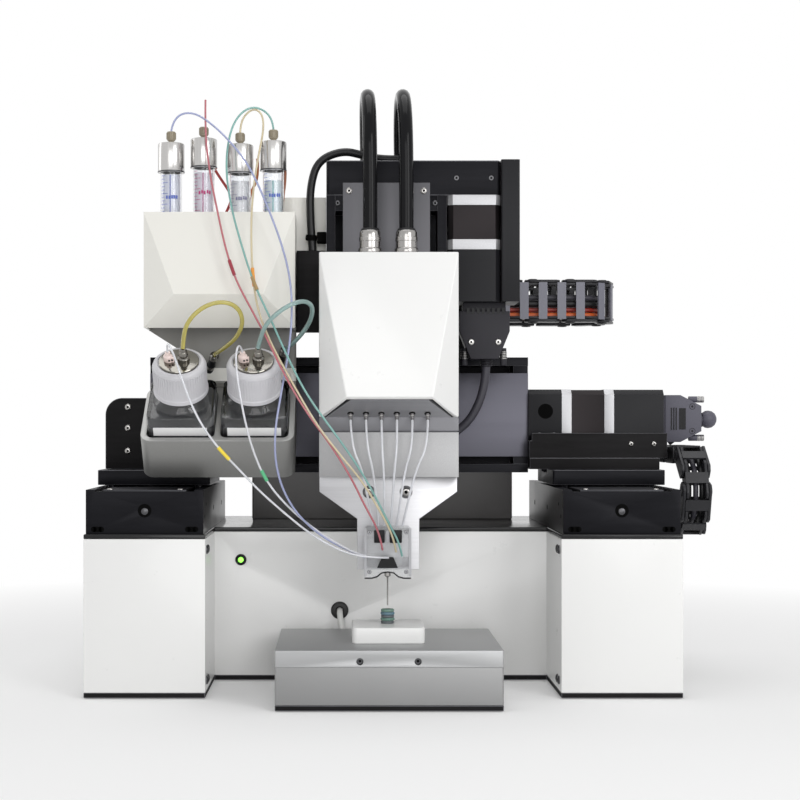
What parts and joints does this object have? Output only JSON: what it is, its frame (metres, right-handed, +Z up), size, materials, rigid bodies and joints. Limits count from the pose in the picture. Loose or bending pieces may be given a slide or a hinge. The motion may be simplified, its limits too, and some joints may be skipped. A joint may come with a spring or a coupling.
{
  "type": "extrusion bioprinter",
  "caption": "Desktop bioprinter: a gantry of screw stages carries a print head with needle over a bed, beside a module of sample tubes and reagent bottles.",
  "frame": {"origin": "on the underside of the base plate, on the centre plane between the two side housings, in line with their front faces", "axes": "+X to the machine's right as seen from the front, +Y to the back, +Z up"},
  "size_m": [0.509, 0.392, 0.4759],
  "materials": {
    "white_paint": "smooth gloss white enamel",
    "panel_paint": "satin warm white enamel",
    "black_gloss": "glossy black sheet",
    "black_anodised": "satin black anodised",
    "raw_aluminium": "fine bead-blasted",
    "machined": "machined and lightly brushed",
    "steel_strip": "rolled steel strip, dull",
    "steel": "turned steel",
    "motor_black": "satin black with a bare steel stack",
    "black_plastic": "matte moulded black",
    "connector_grey": "moulded dark grey",
    "cable_black": "black sheath",
    "cable_white": "white sheath",
    "white_plastic": "moulded white",
    "clear": "clear",
    "frosted": "translucent white and brushed steel",
    "line_clear": "clear fluoropolymer with coloured lines",
    "gas_line": "yellow and clear tube",
    "green_lamp": "lit green lens in a dark bezel",
    "board_green": "circuit board and steel case",
    "sample": "printed rings in teal, grey and green"
  },
  "bodies": {
    "base": {"base_plate": "black_anodised", "base_shell": "white_paint", "deck_plate": "black_gloss", "status_lamp": "green_lamp", "cable_grommet": "black_plastic", "rear_inlets": "black_plastic", "electronics": "board_green", "bed_block": "raw_aluminium", "bed_plate": "raw_aluminium", "chuck": "white_plastic", "printed_sample": "sample", "y_stages": "black_anodised", "y_strips": "black_anodised", "y_motors": "motor_black", "control_box": "black_gloss", "y_chain_bracket": "black_anodised", "bed_cable": "cable_white"},
    "rocker": {"power_switch": "black_plastic"},
    "left_screw": {"left_y_screw": "steel"},
    "right_screw": {"right_y_screw": "steel"},
    "gantry": {"y_carriages": "black_anodised", "left_upright": "black_anodised", "right_mount": "black_anodised", "x_stage": "black_anodised", "x_strip": "steel_strip", "x_motor": "motor_black", "x_connector": "connector_grey", "x_motor_cable": "cable_black", "x_chain_bracket": "black_anodised", "y_chain": "black_plastic"},
    "cross_screw": {"x_screw": "steel"},
    "cross_carriage": {"x_carriage": "black_anodised", "adapter_plate": "black_anodised", "z_stage": "black_anodised", "z_strip": "steel_strip", "z_motor": "motor_black", "z_drive_housing": "black_anodised", "z_connector": "connector_grey", "z_cables": "cable_black", "reservoir_bracket": "black_anodised", "reservoir_shroud": "panel_paint", "reservoir_panel": "panel_paint", "bottle_tray": "raw_aluminium", "sample_tubes": "clear", "bottles": "clear", "reservoir_caps": "frosted", "line_fittings": "steel", "gas_tubes": "gas_line", "x_chain": "black_plastic", "fluid_lines": "line_clear"},
    "lift_screw": {"z_screw": "steel"},
    "head": {"z_carriage": "black_anodised", "head_cover": "white_paint", "port_block": "raw_aluminium", "nozzle_plate": "machined", "head_fittings": "steel", "head_hoses": "cable_black", "cartridge": "clear", "needle": "steel", "port_tubes": "line_clear"}
  },
  "joints": [
    {"name": "y_travel", "type": "slide", "parent": "base", "child": "gantry", "axis": [0, 1, 0], "range_m": [-0.047, 0.047], "deforming": ["y_chain"]},
    {"name": "x_travel", "type": "slide", "parent": "gantry", "child": "cross_carriage", "axis": [1, 0, 0], "range_m": [-0.077, 0.05], "deforming": ["x_chain"]},
    {"name": "z_travel", "type": "slide", "parent": "cross_carriage", "child": "head", "axis": [0, 0, 1], "range_m": [0, 0.06], "deforming": ["fluid_lines", "head_hoses"]},
    {"name": "left_screw_turn", "type": "hinge", "parent": "base", "child": "left_screw", "pos_m": [-0.1825, 0.1, 0.143], "axis": [0, 1, 0], "range_deg": [-1400, 1400]},
    {"name": "right_screw_turn", "type": "hinge", "parent": "base", "child": "right_screw", "pos_m": [0.1825, 0.1, 0.143], "axis": [0, 1, 0], "range_deg": [-1400, 1400]},
    {"name": "cross_screw_turn", "type": "hinge", "parent": "gantry", "child": "cross_screw", "pos_m": [0, 0.116, 0.217], "axis": [1, 0, 0], "range_deg": [-2250, 1500]},
    {"name": "lift_screw_turn", "type": "hinge", "parent": "cross_carriage", "child": "lift_screw", "pos_m": [0.0035, 0.0595, 0.28], "axis": [0, 0, 1], "range_deg": [-10, 1750]},
    {"name": "rocker_tilt", "type": "hinge", "parent": "base", "child": "rocker", "pos_m": [0.124, 0.25, 0.028], "axis": [1, 0, 0], "range_deg": [0, 24]}
  ],
  "couplings": [
    {"joint": "left_screw_turn", "follows": "y_travel", "rad_per_m": 494.74},
    {"joint": "right_screw_turn", "follows": "y_travel", "rad_per_m": 494.74},
    {"joint": "cross_screw_turn", "follows": "x_travel", "rad_per_m": 494.74},
    {"joint": "lift_screw_turn", "follows": "z_travel", "rad_per_m": 494.74}
  ]
}
